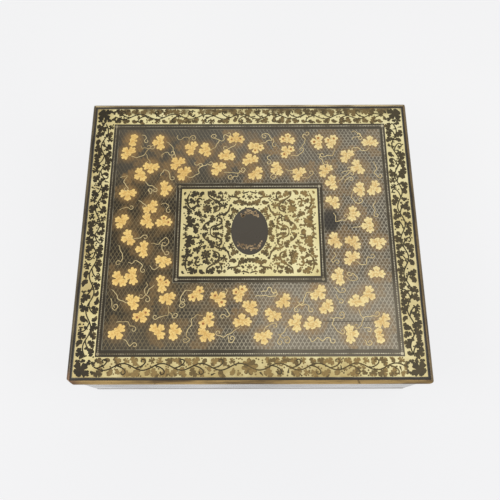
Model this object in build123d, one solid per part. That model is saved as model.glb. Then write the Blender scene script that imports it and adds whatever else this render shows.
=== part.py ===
from build123d import *
import os
from math import cos, pi, radians, sin, sqrt

# Games box of lacquered wood: a dovetailed case with a hinged lid, a link-plate lock and a
# fitted inside of lidded counter boxes and stacked card trays. Millimetres; X is the width,
# -Y the front and +Z up, with the origin in the middle of the underside.

# Overall size, over the bead moulding round the lid
box_width = 380.0
box_depth = 333.0
box_height = 110.0
base_height = 78.0        # from the underside to the rim of the case
corner_bevel = 1.2        # across the upright corners of the case and the lid's frame

# Boards
wall_thickness = 9.0
bottom_thickness = 8.0
panel_thickness = 7.4     # the lid's top board
seam_gap = 0.3            # between the case's rim and the lid when shut
case_tails = 3            # dovetails in each corner of the case
lid_tails = 2             # and in each corner of the lid's frame
tail_slope = 1 / 6
tail_share = 0.5          # of a tail's pitch at its narrow end

# Half-round bead moulding round the lid's top board
bead_proud = 4.0
bead_stand = 0.6          # the moulding's crest above the top board
bead_crest = 0.5          # easing along its inner top edge
bead_corner = 5.0         # its outer radius at the corners
worn_corner_x = 7.5       # the moulding's front left corner is rubbed away this far along the front
worn_corner_y = 6.0       # and this far along the side

# Lining strips inside the case, standing up into the lid
lining_thickness = 3.0
lining_stand = 5.0
lining_clearance = 0.5    # to the inside of the lid's frame
lining_chamfer = 1.2

# Egg-crate dividers
divider_thickness = 3.0
divider_height = 52.0
halving_clearance = 0.1
columns = 3
rows = 3

# Counter boxes, with a slip lid over a thin neck
cell_gap = 1.0            # round each box and tray
cant = 9.0                # across the cut-off corners
counter_wall = 2.6
counter_floor = 2.5
counter_body_height = 44.0
neck_height = 8.0
neck_thickness = 1.2
neck_clearance = 0.2
slip_lid_height = 16.0
slip_lid_top = 2.4
slip_lid_bevel = 1.6

# Card trays
trays_in_stack = 5
tray_height = 11.0
tray_wall = 2.2
tray_floor = 2.0
tray_flare = 1.2          # each side leans out this far from foot to rim
tray_foot = 0.8           # step under the floor that drops into the rim below
tray_foot_clearance = 0.4

# Stop hinges
hinge_length = 44.0
hinge_inset = 76.0        # from each side of the case to the middle of its hinge
knuckle_count = 3
knuckle_gap = 0.2
barrel_radius = 2.2
barrel_clearance = 0.25
hinge_set_back = 0.4      # the pin's centre lies this far behind the case's back
pin_radius = 1.1
pin_clearance = 0.05
leaf_thickness = 1.2
leaf_reach = 8.0
stop_reach = 3.5          # from the pin's centre to the tip of the stop bar
stop_thickness = 1.0
lid_opening = 100.0       # degrees
stop_play = 1.0           # degrees left between the stop bars at the full opening
mortise_clearance = 0.1

# Wood screws
screw_head_radius = 1.9
screw_shank_radius = 0.9
screw_length = 8.0
screw_clearance = 0.05
screw_slot = 0.5
screw_sides = 16          # flat sides round each screw and its hole

# Box lock and link plate
lock_width = 50.0
lock_height = 19.0        # of the case under its top plate
lock_depth = 5.0
lock_plate = 1.0
lock_back = 0.8
lock_top_width = 62.0
lock_top_thickness = 1.2
link_spacing = 24.0
link_drop = 7.5
link_stem = 2.0
link_toe = 4.6
link_toe_height = 1.6
link_thickness = 2.0
link_slot_clearance = 0.3
bolt_thickness = 2.2
bolt_bar_height = 3.3
bolt_finger_height = 1.8
bolt_post_width = 2.0     # of the two upright parts that carry the fingers
bolt_clearance = 0.4
guide_width = 6.0         # of the two blocks that the bolt slides on
keyhole_radius = 2.0
keyhole_slot_width = 1.6
keyhole_slot_drop = 5.0

# Worked-out places
case_width = box_width - 2 * bead_proud
case_depth = box_depth - 2 * bead_proud
side_x = case_width / 2
back_y = case_depth / 2
lid_bottom = base_height + seam_gap
panel_top = box_height - bead_stand
panel_bottom = panel_top - panel_thickness
rail_thickness = wall_thickness - lining_clearance
inner_x = side_x - wall_thickness
inner_y = back_y - wall_thickness
room_x = inner_x - lining_thickness
room_y = inner_y - lining_thickness
cell_width = (2 * room_x - (columns - 1) * divider_thickness) / columns
cell_depth = (2 * room_y - (rows - 1) * divider_thickness) / rows
insert_width = cell_width - 2 * cell_gap
insert_depth = cell_depth - 2 * cell_gap
corner_share = 2 - sqrt(2)            # how much a cant shrinks for each unit of inset
hinge_y = back_y + hinge_set_back
hinge_z = base_height + seam_gap / 2
hinge_places = (hinge_inset - side_x, side_x - hinge_inset)
lock_outer_y = -inner_y - lock_depth  # the lock lies flush with the inside of the front wall
lock_middle_y = (lock_outer_y + lock_plate - inner_y - lock_back) / 2
lock_top_z = base_height - lock_top_thickness
lock_bottom_z = lock_top_z - lock_height
plate_screw_x = (lock_width + lock_top_width) / 4
toe_bottom = base_height - link_drop
finger_bottom = toe_bottom + link_toe_height + bolt_clearance
bar_top = toe_bottom - bolt_clearance
bar_bottom = bar_top - bolt_bar_height
keyhole_z = bar_bottom - keyhole_radius
bolt_travel = link_toe                # the bolt's fingers then cover the links' toes


def block(x, y, z):
    """A box between the low and high value on each axis."""
    return Pos(sum(x) / 2, sum(y) / 2, sum(z) / 2) * Box(x[1] - x[0], y[1] - y[0], z[1] - z[0])


def cylinder_x(radius, x_low, x_high, y, z):
    """A cylinder that lies along X."""
    return Pos((x_low + x_high) / 2, y, z) * Rot(0, 90, 0) * Cylinder(radius, x_high - x_low)


def along_x(section, x_low, x_high):
    """A section drawn in Y and Z, carried from one place on X to another."""
    return extrude(Plane.YZ.offset(x_low) * section, x_high - x_low, dir=(1, 0, 0))


def canted(width, depth, corner):
    """A rectangle with cut-off corners."""
    return chamfer(Rectangle(width, depth).vertices(), corner)


def case_block(z_low, z_high):
    """The plan of the case and the lid's frame between two heights."""
    return Pos(0, 0, z_low) * extrude(canted(case_width, case_depth, corner_bevel), z_high - z_low)


def canted_block(inset, z_low, z_high):
    """The counter boxes' outline, drawn in by inset, between two heights."""
    corner = cant - inset * corner_share
    plan = canted(insert_width - 2 * inset, insert_depth - 2 * inset, corner)
    return Pos(0, 0, z_low) * extrude(plan, z_high - z_low)


def cell_centre(column, row):
    """The middle of a compartment; column 0 is the left one and row 0 the front one."""
    x = (column - (columns - 1) / 2) * (cell_width + divider_thickness)
    y = (row - (rows - 1) / 2) * (cell_depth + divider_thickness)
    return x, y


# Case and lid frame

def corner_tails(thickness, z_low, z_high, count):
    """The tails of all four corners: wedges that widen towards the front and back faces."""
    pitch = (z_high - z_low) / count
    narrow = pitch * tail_share
    wide = narrow + 2 * thickness * tail_slope
    tails = []
    for y_sign in (-1, 1):
        near, far = y_sign * (back_y - thickness), y_sign * back_y
        for number in range(count):
            middle = z_low + (number + 0.5) * pitch
            wedge = Polygon(
                (near, middle - narrow / 2),
                (far, middle - wide / 2),
                (far, middle + wide / 2),
                (near, middle + narrow / 2),
                align=None,
            )
            for x_low in (-side_x, side_x - thickness):
                tails.append(along_x(wedge, x_low, x_low + thickness))
    return tails


def dovetailed_frame(thickness, z_low, z_high, count):
    """Four boards that meet in dovetails: the ends carry the tails, front and back the pins."""
    tails = corner_tails(thickness, z_low, z_high, count)
    around = case_block(z_low, z_high)
    z = (z_low, z_high)
    boards = {}
    for name, y in (("front", (-back_y, thickness - back_y)), ("back", (back_y - thickness, back_y))):
        boards[name] = (block((-side_x, side_x), y, z) - tails) & around
    for name, x in (("left", (-side_x, thickness - side_x)), ("right", (side_x - thickness, side_x))):
        board = block(x, (thickness - back_y, back_y - thickness), z)
        own_tails = [tail for tail in tails if x[0] <= tail.center().X <= x[1]]
        boards[name] = (board + own_tails) & around
    return boards


def worn_corner():
    """What is rubbed off the front left corner of the lid's moulding."""
    x, y = -box_width / 2, -box_depth / 2
    plan = Polygon((x, y), (x + worn_corner_x, y), (x, y + worn_corner_y), align=None)
    return Pos(0, 0, panel_bottom) * extrude(plan, box_height - panel_bottom)


def lid_top_panel():
    """The lid's top board, which the moulding runs round."""
    board = block((-side_x, side_x), (-back_y, back_y), (panel_bottom, panel_top))
    return board - worn_corner()


def bead_profile(face):
    """A half-round against the side of the top board, with its upper edge eased."""
    middle = (panel_bottom + box_height) / 2
    crest, shoulder = (-face - bead_crest, box_height), (-face, box_height - bead_crest)
    bulge = bead_crest * (1 - sqrt(0.5))
    round_part = ThreePointArc((-face, panel_bottom), (-face - bead_proud, middle), crest)
    eased_part = ThreePointArc(crest, (-face - bulge, box_height - bulge), shoulder)
    return make_face(round_part + eased_part + Line(shoulder, (-face, panel_bottom)))


def bead_mouldings():
    """Moulding strips round the top board, mitred at the corners."""
    height = box_height - panel_bottom
    reach = max(box_width, box_depth)
    rounded = Pos(0, 0, panel_bottom) * extrude(RectangleRounded(box_width, box_depth, bead_corner), height)
    strips = {}
    sides = {"front": (0, back_y), "right": (90, side_x), "back": (180, back_y), "left": (270, side_x)}
    for name, (turn, face) in sides.items():
        strip = along_x(bead_profile(face), -reach / 2, reach / 2)
        across = side_x if face == back_y else back_y
        mitre = Polygon(
            (-across, -face),
            (-across - bead_proud, -face - bead_proud),
            (across + bead_proud, -face - bead_proud),
            (across, -face),
            align=None,
        )
        strip &= Pos(0, 0, panel_bottom) * extrude(mitre, height)
        strips[name] = (Rot(0, 0, turn) * strip) & rounded
    for name in ("front", "left"):
        strips[name] -= worn_corner()
    return strips


def lining_strips():
    """Strips glued round the inside of the case. Their tops guide the lid."""
    z = (bottom_thickness, base_height + lining_stand)
    across = (-inner_x, inner_x)
    along = (-room_y, room_y)
    strips = {
        "front": block(across, (-inner_y, -room_y), z),
        "back": block(across, (room_y, inner_y), z),
        "left": block((-inner_x, -room_x), along, z),
        "right": block((room_x, inner_x), along, z),
    }
    outward = {"front": (Axis.Y, 0), "back": (Axis.Y, -1), "left": (Axis.X, 0), "right": (Axis.X, -1)}
    for name, (axis, place) in outward.items():
        edge = strips[name].edges().group_by(Axis.Z)[-1].sort_by(axis)[place]
        strips[name] = chamfer(edge, lining_chamfer)
    return strips


def dividers():
    """Boards that cross in half laps and part the inside into compartments."""
    z = (bottom_thickness, bottom_thickness + divider_height)
    middle = sum(z) / 2
    slot = divider_thickness + 2 * halving_clearance
    half = divider_thickness / 2
    cross_x = [cell_centre(column, 0)[0] + cell_width / 2 + half for column in range(columns - 1)]
    long_y = [cell_centre(0, row)[1] + cell_depth / 2 + half for row in range(rows - 1)]
    boards = {}
    for number, y in enumerate(long_y, 1):
        board = block((-room_x, room_x), (y - half, y + half), z)
        for x in cross_x:
            board -= block((x - slot / 2, x + slot / 2), (y - half, y + half), (middle, z[1]))
        boards[f"long_divider_{number}"] = board
    for number, x in enumerate(cross_x, 1):
        board = block((x - half, x + half), (-room_y, room_y), z)
        for y in long_y:
            board -= block((x - half, x + half), (y - slot / 2, y + slot / 2), (z[0], middle))
        boards[f"cross_divider_{number}"] = board
    return boards


# Screws

def screw(grown=0.0):
    """A countersunk wood screw with its head at z 0 and its shank below; grown makes its hole.

    The head is as deep as the brass that it holds, and the shank has a blunt end. So small a
    round piece gets flat sides, whose corners lie on the true circles.
    """
    to_flat = cos(pi / screw_sides)
    head = (screw_head_radius + grown) * to_flat
    shank = (screw_shank_radius + grown) * to_flat
    right = [(head, 0), (shank, -leaf_thickness), (shank, -screw_length - grown)]
    left = [(-x, z) for x, z in reversed(right)]
    across = extrude(Plane.XZ * Polygon(*right, *left, align=None), 2 * head, both=True)
    body = across
    for number in range(1, screw_sides // 2):
        body &= Rot(0, 0, 360 / screw_sides * number) * across
    if not grown:
        reach, half = screw_head_radius, screw_slot / 2
        body -= block((-reach, reach), (-half, half), (-screw_slot, 0))
    return body


def placed_screws(places, upward, grown=0.0):
    """Screws at x, y, z; upward ones have their heads below."""
    turn = Rot(180, 0, 0) if upward else Rot(0, 0, 0)
    one = turn * screw(grown)
    return [Pos(*place) * one for place in places]


def hinge_screw_places(upward):
    z = lid_bottom if upward else base_height
    y = hinge_y - (leaf_reach + barrel_radius + barrel_clearance) / 2
    return [(x + step, y, z) for x in hinge_places for step in (-hinge_length / 4, hinge_length / 4)]


def plate_screw_places(upward):
    z = lid_bottom if upward else base_height
    return [(x, lock_middle_y, z) for x in (-plate_screw_x, plate_screw_x)]


# Hinges

def hinge_leaf(own_first):
    """One leaf about the pin's centre, as for the case: plate, knuckles and stop bar below.

    The case's leaf has the knuckles 0, 2, 4 and the lid's the ones between them.
    """
    half = hinge_length / 2
    pitch = hinge_length / knuckle_count
    top = -seam_gap / 2
    plate = block((-half, half), (-leaf_reach, 0), (top - leaf_thickness, top))
    angle = radians((lid_opening + stop_play) / 2)
    radial = Vector(cos(angle), -sin(angle))
    away = Vector(-sin(angle), -cos(angle)) * stop_thickness

    def bar(inner, x_low, x_high):
        near, far = radial * inner, radial * stop_reach
        section = Polygon(*[(p.X, p.Y) for p in (near, far, far + away, near + away)], align=None)
        return along_x(section, x_low, x_high)

    leaf = plate + bar(barrel_radius + barrel_clearance, -half, half)
    for number in range(knuckle_count):
        low, high = number * pitch - half, (number + 1) * pitch - half
        if number % 2 == own_first:
            low_end = low + (knuckle_gap / 2 if number else 0)
            high_end = high - (knuckle_gap / 2 if number < knuckle_count - 1 else 0)
            leaf += cylinder_x(barrel_radius, low_end, high_end, 0, 0)
            leaf += bar(barrel_radius * 0.8, low_end, high_end)
        else:
            leaf -= cylinder_x(barrel_radius + barrel_clearance, low, high, 0, 0)
    leaf -= cylinder_x(pin_radius + pin_clearance, -half, half, 0, 0)
    return leaf


def hinge_leaves(lid):
    """The left and right leaf of the case, or of the lid, with their countersunk holes."""
    leaf = hinge_leaf(1 if lid else 0)
    if lid:
        leaf = mirror(leaf, about=Plane.XY)
    holes = placed_screws(hinge_screw_places(lid), lid, screw_clearance)
    return [Pos(x, hinge_y, hinge_z) * leaf - holes for x in hinge_places]


def hinge_mortises(lid):
    """What a board loses to the leaves, the barrels and the screws."""
    half = hinge_length / 2 + mortise_clearance
    z = (lid_bottom, lid_bottom + leaf_thickness) if lid else (base_height - leaf_thickness, base_height)
    y = (hinge_y - leaf_reach - mortise_clearance, hinge_y)
    cuts = []
    for x in hinge_places:
        cuts.append(block((x - half, x + half), y, z))
        cuts.append(cylinder_x(barrel_radius + barrel_clearance, x - half, x + half, hinge_y, hinge_z))
    return cuts + placed_screws(hinge_screw_places(lid), lid, screw_clearance)


def hinge_pins():
    """Both pins, as long as the barrels."""
    half = hinge_length / 2
    return [cylinder_x(pin_radius, x - half, x + half, hinge_y, hinge_z) for x in hinge_places]


# Lock

def keyhole(y_low, y_high):
    """The key's way in: a round hole with a slot below it."""
    hole = Pos(0, (y_low + y_high) / 2, keyhole_z) * Rot(90, 0, 0) * Cylinder(keyhole_radius, y_high - y_low)
    half = keyhole_slot_width / 2
    return hole + block((-half, half), (y_low, y_high), (keyhole_z - keyhole_slot_drop, keyhole_z))


def link_x(sign):
    """The left side of a link's stem."""
    return sign * link_spacing / 2


def lock_case():
    """The open-backed brass case with its top plate, which has a slot for each link."""
    x = lock_width / 2
    body = block((-x, x), (lock_outer_y, -inner_y), (lock_bottom_z, lock_top_z))
    inside = block(
        (lock_plate - x, x - lock_plate),
        (lock_outer_y + lock_plate, -inner_y),
        (lock_bottom_z + lock_plate, lock_top_z),
    )
    top = lock_top_width / 2
    case = body - inside + block((-top, top), (lock_outer_y, -inner_y), (lock_top_z, base_height))
    room = link_thickness / 2 + link_slot_clearance
    for sign in (-1, 1):
        low = link_x(sign) - link_toe - link_slot_clearance
        high = link_x(sign) + link_stem + link_slot_clearance
        case -= block((low, high), (lock_middle_y - room, lock_middle_y + room), (lock_top_z, base_height))
    guide_y = (lock_outer_y + lock_plate, -inner_y - lock_back)
    guide_z = (lock_bottom_z + lock_plate, bar_bottom)
    for low in (lock_plate - x, x - lock_plate - guide_width):
        case += block((low, low + guide_width), guide_y, guide_z)
    case -= keyhole(lock_outer_y, lock_outer_y + lock_plate)
    return case - placed_screws(plate_screw_places(False), False, screw_clearance)


def lock_back_plate():
    """The plate that closes the lock's case, let in flush."""
    x = lock_width / 2 - lock_plate
    return block((-x, x), (-inner_y - lock_back, -inner_y), (lock_bottom_z + lock_plate, lock_top_z))


def lock_bolt():
    """A sliding bar with a finger beside each link; the key turns in the notch under it."""
    y = (lock_middle_y - bolt_thickness / 2, lock_middle_y + bolt_thickness / 2)
    tips = [link_x(sign) - link_toe - bolt_clearance for sign in (-1, 1)]
    reach = bolt_travel - bolt_clearance
    finger_top = finger_bottom + bolt_finger_height
    bar_end = lock_width / 2 - lock_plate - bolt_clearance - bolt_travel
    bar = block((tips[0] - reach - bolt_post_width, bar_end), y, (bar_bottom, bar_top))
    for tip in tips:
        bar += block((tip - reach - bolt_post_width, tip - reach), y, (bar_top, finger_top))
        bar += block((tip - reach, tip), y, (finger_bottom, finger_top))
    notch = Pos(0, lock_middle_y, bar_bottom) * Rot(90, 0, 0)
    return bar - notch * Cylinder(bolt_bar_height / 2, 2 * bolt_thickness)


def link_plate():
    """The lid's plate with two hooked links that drop into the lock."""
    top = lock_top_width / 2
    plate_y = (lock_outer_y, -inner_y - lining_clearance)
    plate = block((-top, top), plate_y, (lid_bottom, lid_bottom + lock_top_thickness))
    y = (lock_middle_y - link_thickness / 2, lock_middle_y + link_thickness / 2)
    for sign in (-1, 1):
        stem = link_x(sign)
        plate += block((stem, stem + link_stem), y, (toe_bottom, lid_bottom))
        plate += block((stem - link_toe, stem), y, (toe_bottom, toe_bottom + link_toe_height))
    return plate - placed_screws(plate_screw_places(True), True, screw_clearance)


def lock_mortise():
    """What the front wall loses to the lock, its top plate, its screws and the key."""
    x = lock_width / 2
    top = lock_top_width / 2
    y = (lock_outer_y, -inner_y)
    cuts = [
        block((-x, x), y, (lock_bottom_z, base_height)),
        block((-top, top), y, (lock_top_z, base_height)),
        keyhole(-back_y, lock_outer_y),
    ]
    return cuts + placed_screws(plate_screw_places(False), False, screw_clearance)


def link_mortise():
    """What the lid's front rail loses to the link plate and its screws."""
    top = lock_top_width / 2
    cut = block((-top, top), (lock_outer_y, -inner_y), (lid_bottom, lid_bottom + lock_top_thickness))
    return [cut] + placed_screws(plate_screw_places(True), True, screw_clearance)


# Counter boxes and trays

def counter_box():
    """An open box with canted corners and a thin neck that the slip lid goes over."""
    top = counter_body_height
    neck_inset = counter_wall - neck_thickness
    box = canted_block(0, 0, top) + canted_block(neck_inset, top, top + neck_height)
    return box - canted_block(counter_wall, counter_floor, top + neck_height)


def slip_lid():
    """The cap of a counter box, flush with its sides and bevelled round the top."""
    low, high = counter_body_height, counter_body_height + slip_lid_height
    cap = canted_block(0, low, high)
    cap = chamfer(cap.faces().sort_by(Axis.Z)[-1].edges(), slip_lid_bevel)
    skirt = counter_wall - neck_thickness - neck_clearance
    return cap - canted_block(skirt, low, high - slip_lid_top)


def tray_shape(inset, z_low):
    """A solid with canted corners, from z_low to the rim, that leans out as the trays' sides do."""
    lean = tray_flare * (1 - z_low / tray_height)
    width, depth = insert_width - 2 * inset, insert_depth - 2 * inset
    foot = (lean, lean, width - lean, depth - lean)
    lying = Wedge(width, tray_height - z_low, depth, *foot, align=(Align.CENTER, Align.MIN, Align.CENTER))
    shape = Pos(0, 0, tray_height) * Rot(-90, 0, 0) * lying
    level = shape.edges().group_by(Axis.Z)
    return chamfer(shape.edges() - level[0] - level[-1], cant - inset * corner_share)


def card_tray():
    """A shallow tray with leaning sides; its foot drops into the rim of the tray below."""
    tray = tray_shape(0, 0) - tray_shape(tray_wall, tray_floor - tray_foot)
    foot_inset = tray_wall + tray_foot_clearance
    return tray + canted_block(foot_inset, -tray_foot, 0)


def counter_places():
    """Names and compartments of the counter boxes, which leave the middle of each side to trays."""
    return {
        "front_left": (0, 0),
        "front_middle": (1, 0),
        "front_right": (2, 0),
        "centre": (1, 1),
        "back_left": (0, 2),
        "back_middle": (1, 2),
        "back_right": (2, 2),
    }


def tray_places():
    """The compartments of the two stacks of trays."""
    return {"left": (0, 1), "right": (2, 1)}


def tray_level(number):
    """The height of a tray's sides above the table; number 1 is the lowest."""
    return bottom_thickness + tray_foot + (number - 1) * tray_height


def build():
    """Every piece by its name."""
    pieces = {}
    case = dovetailed_frame(wall_thickness, bottom_thickness, base_height, case_tails)
    case["back"] -= hinge_mortises(False)
    case["front"] -= lock_mortise()
    pieces.update({f"case_{name}_wall": board for name, board in case.items()})
    pieces["case_bottom_board"] = case_block(0, bottom_thickness)
    pieces.update({f"lining_{name}": strip for name, strip in lining_strips().items()})
    pieces.update(dividers())

    frame = dovetailed_frame(rail_thickness, lid_bottom, panel_bottom, lid_tails)
    frame["back"] -= hinge_mortises(True)
    frame["front"] -= link_mortise()
    pieces.update({f"lid_{name}_rail": board for name, board in frame.items()})
    pieces["lid_top_panel"] = lid_top_panel()
    pieces.update({f"bead_{name}": strip for name, strip in bead_mouldings().items()})

    for lid, owner in ((False, "case"), (True, "lid")):
        for side, leaf in zip(("left", "right"), hinge_leaves(lid)):
            pieces[f"{owner}_hinge_leaf_{side}"] = leaf
        pieces[f"{owner}_hinge_screws"] = Compound(children=placed_screws(hinge_screw_places(lid), lid))
    pieces["hinge_pins"] = Compound(children=hinge_pins())

    pieces["lock_case"] = lock_case()
    pieces["lock_back_plate"] = lock_back_plate()
    pieces["lock_bolt"] = lock_bolt()
    pieces["lock_screws"] = Compound(children=placed_screws(plate_screw_places(False), False))
    pieces["link_plate"] = link_plate()
    pieces["link_plate_screws"] = Compound(children=placed_screws(plate_screw_places(True), True))

    box, cap = counter_box(), slip_lid()
    for name, cell in counter_places().items():
        place = Pos(*cell_centre(*cell), bottom_thickness)
        pieces[f"counter_box_{name}"] = place * box
        pieces[f"slip_lid_{name}"] = place * cap
    tray = card_tray()
    for side, cell in tray_places().items():
        for number in range(1, trays_in_stack + 1):
            pieces[f"tray_{side}_{number}"] = Pos(*cell_centre(*cell), tray_level(number)) * tray
    return pieces


def main():
    os.makedirs("parts", exist_ok=True)
    for name, piece in build().items():
        export_step(piece, f"parts/{name}.step")


if __name__ == "__main__":
    main()
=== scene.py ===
from math import atan2, cos, degrees, hypot, pi, radians, sin
from random import choice, choices, sample, seed, uniform

import bpy
import numpy as np
from mathutils import Matrix, Vector


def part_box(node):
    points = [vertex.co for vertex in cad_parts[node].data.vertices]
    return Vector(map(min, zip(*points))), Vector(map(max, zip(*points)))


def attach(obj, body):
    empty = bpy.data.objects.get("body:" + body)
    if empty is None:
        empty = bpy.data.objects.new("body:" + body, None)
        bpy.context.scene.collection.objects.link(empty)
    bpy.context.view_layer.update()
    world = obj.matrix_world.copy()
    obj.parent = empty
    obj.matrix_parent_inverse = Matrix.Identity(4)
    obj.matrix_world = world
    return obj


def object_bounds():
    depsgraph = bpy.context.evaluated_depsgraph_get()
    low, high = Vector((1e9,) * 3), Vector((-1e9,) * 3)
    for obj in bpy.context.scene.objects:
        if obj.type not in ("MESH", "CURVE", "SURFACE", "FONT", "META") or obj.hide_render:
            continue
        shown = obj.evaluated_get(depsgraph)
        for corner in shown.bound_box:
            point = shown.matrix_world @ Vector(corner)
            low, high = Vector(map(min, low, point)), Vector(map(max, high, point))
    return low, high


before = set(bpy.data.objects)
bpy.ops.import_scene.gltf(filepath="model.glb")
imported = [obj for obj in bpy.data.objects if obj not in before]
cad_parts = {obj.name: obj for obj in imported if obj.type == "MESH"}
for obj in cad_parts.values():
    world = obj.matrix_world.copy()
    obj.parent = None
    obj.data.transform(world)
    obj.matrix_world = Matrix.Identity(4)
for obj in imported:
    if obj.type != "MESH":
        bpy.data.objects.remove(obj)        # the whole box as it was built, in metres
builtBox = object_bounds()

mm = 0.001
seed(7)
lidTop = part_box("lid_top_panel")[1].z
print("box loaded, top board at", round(lidTop, 4))

# levels of the paint on the lid's top board, in mm above it
levels = {"board": 0, "field": 0.04, "goldGround": 0.08, "centreGround": 0.12}
quarters = ((-1, -1), (-1, 1), (1, -1), (1, 1))


def onLid(level):
    return lidTop / mm + levels[level]


# Small helpers for modelling

def openMesh():
    bpy.ops.object.mode_set(mode='EDIT')
    bpy.ops.mesh.select_all(action='SELECT')


def closeMesh():
    bpy.ops.mesh.select_all(action='SELECT')
    bpy.ops.mesh.normals_make_consistent()
    bpy.ops.object.mode_set(mode='OBJECT')


def copyTo(master, x, y, turn, size, height):
    # x, y and height in mm, turn in degrees
    copy = master.copy()
    copy.data = master.data.copy()
    bpy.context.scene.collection.objects.link(copy)
    place = Matrix.Translation((x * mm, y * mm, height * mm))
    copy.data.transform(place @ Matrix.Rotation(radians(turn), 4, 'Z') @ Matrix.Diagonal((size, size, 1, 1)))
    return copy


def dropMasters(*masters):
    for master in masters:
        bpy.data.objects.remove(master)


def finishPiece(parts, name, finish, body="lid"):
    # the parts become one piece with a name, a finish and the body that it rides
    bpy.ops.object.select_all(action='DESELECT')
    for part in parts:
        part.select_set(True)
    piece = bpy.context.view_layer.objects.active = parts[0]
    if len(parts) > 1:
        bpy.ops.object.join()
    piece.name = piece.data.name = name
    piece.data.materials.clear()
    piece.data.materials.append(finish)
    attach(piece, body)


# Outlines of leaves and flowers: round knobs about a middle, as angle, distance and radius

def lobe(heading, reach, spread, radius, tip=1.1):
    # the three knobs at the end of a lobe
    return tuple((heading + spread * n, reach * (1 if n else tip), radius) for n in (-1, 0, 1))


def edgeReach(turn, form):
    # from the middle to the outline, at an angle in degrees
    best = form["floor"]
    for knobTurn, away, radius in form["knobs"]:
        off = radians(turn - knobTurn)
        side = away * sin(off)
        if cos(off) > 0 and abs(side) < radius:
            best = max(best, away * cos(off) + (radius * radius - side * side) ** 0.5)
    # a slit narrows to its inner end
    for slitTurn, inner, half in form.get("slits", ()):
        off = abs((turn - slitTurn + 180) % 360 - 180)
        if off < half:
            best = min(best, inner + (best - inner) * off / half)
    return best


def modelFlat(form):
    # a raised shape: outline, rounded shoulder and cap
    bpy.ops.mesh.primitive_circle_add(vertices=form["points"])
    shape = bpy.context.object
    for vertex in shape.data.vertices:
        turn = atan2(*vertex.co.yx)
        reach = edgeReach(degrees(turn), form) * mm
        vertex.co = (reach * cos(turn), reach * sin(turn), 0)
    openMesh()
    bpy.ops.mesh.edge_face_add()
    bpy.ops.mesh.region_to_loop()
    for spread, rise in form["rings"]:
        bpy.ops.mesh.extrude_region_move(TRANSFORM_OT_translate={"value": (0, 0, rise * mm)})
        bpy.ops.transform.resize(value=(spread, spread, 1), center_override=(0, 0, 0))
    bpy.ops.mesh.extrude_region_move()
    bpy.ops.mesh.merge(type='CENTER')
    closeMesh()
    # marks for the paint
    rim, inward = (shape.data.attributes.new(mark, 'FLOAT', 'POINT').data for mark in ("rim", "inward"))
    for number, vertex in enumerate(shape.data.vertices):
        reach = edgeReach(degrees(atan2(*vertex.co.yx)), form) * mm
        rim[number].value = number < form["points"] * 2
        inward[number].value = 1 - hypot(*vertex.co.xy) / reach
    return shape


def strokes(paths, width, flat, height, steps, taper=lambda along: 1):
    # brush strokes, round in section and then pressed flat
    bpy.ops.curve.primitive_nurbs_path_add()
    curve = bpy.context.object.data
    curve.splines.clear()
    curve.bevel_depth = width / 2 * mm
    curve.bevel_resolution = 1
    curve.use_fill_caps = True
    curve.resolution_u = steps
    for path in paths:
        spline = curve.splines.new('NURBS')
        spline.points.add(len(path) - 1)
        for number, (x, y) in enumerate(path):
            spline.points[number].co = (x * mm, y * mm, 0, 1)
            spline.points[number].radius = taper(number / (len(path) - 1))
        spline.order_u = 3
        spline.use_endpoint_u = True
    bpy.ops.object.convert(target='MESH')
    piece = bpy.context.object
    for vertex in piece.data.vertices:
        vertex.co.z = vertex.co.z * flat + height * mm
    return piece


def pairs(numbers):
    return list(zip(numbers[::2], numbers[1::2]))


def hasRoom(x, y, radius, placed, closeness):
    return all(hypot(x - px, y - py) > (radius + other) * closeness for px, py, other in placed)


# Flat frames are given as half width, low y and high y, in mm

def widened(frameEdge, by):
    halfX, lowY, highY = frameEdge
    return halfX + by, lowY - by, highY + by


def flatRing(outer, inner, height, thick):
    # a plane with its inset face taken out, and the hole brought to size
    halfX, lowY, highY = outer
    middleY = (lowY + highY) / 2 * mm
    bpy.ops.mesh.primitive_plane_add(size=1, location=(0, middleY, height * mm))
    ring = bpy.context.object
    ring.scale = (2 * halfX * mm, (highY - lowY) * mm, 1)
    bpy.ops.object.transform_apply()
    openMesh()
    bpy.ops.mesh.inset(thickness=1 * mm)
    bpy.ops.mesh.delete(type='FACE')
    bpy.ops.object.mode_set(mode='OBJECT')
    for vertex in ring.data.vertices:
        if abs(vertex.co.x) < (halfX - 0.5) * mm:
            vertex.co.x = inner[0] * mm if vertex.co.x > 0 else -inner[0] * mm
            vertex.co.y = inner[2] * mm if vertex.co.y > middleY else inner[1] * mm
    solid = ring.modifiers.new("thickness", 'SOLIDIFY')
    solid.thickness = thick * mm
    solid.offset = 1
    bpy.ops.object.modifier_apply(modifier=solid.name)
    return ring


# Small helpers for paint; their nodes go into the finish that newFinish began last

making = {}


def tint(colour):
    # red, green and blue from 0 to 255; a node's colour stays as it is
    if isinstance(colour, tuple):
        return (*(c / 3294.6 if c < 11 else ((c / 255 + 0.055) / 1.055) ** 2.4 for c in colour), 1)
    return colour


def newFinish(name, roughness, metallic=0, coat=0, coatRoughness=0.1, sheen=0.5):
    finish = bpy.data.materials.new(name)
    finish.use_nodes = True
    shader = finish.node_tree.nodes["Principled BSDF"]
    for socket, value in (("Roughness", roughness), ("Metallic", metallic), ("Specular IOR Level", sheen),
            ("Coat Weight", coat), ("Coat Roughness", coatRoughness)):
        shader.inputs[socket].default_value = value
    making.update(finish=finish, tree=finish.node_tree, shader=shader)


def addNode(kind, inputs={}, **settings):
    node = making["tree"].nodes.new('ShaderNode' + kind)
    for key, value in settings.items():
        setattr(node, key, value)
    for socket, value in inputs.items():
        if isinstance(value, bpy.types.NodeSocket):
            making["tree"].links.new(value, node.inputs[socket])
        else:
            node.inputs[socket].default_value = value
    return node.outputs


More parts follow.
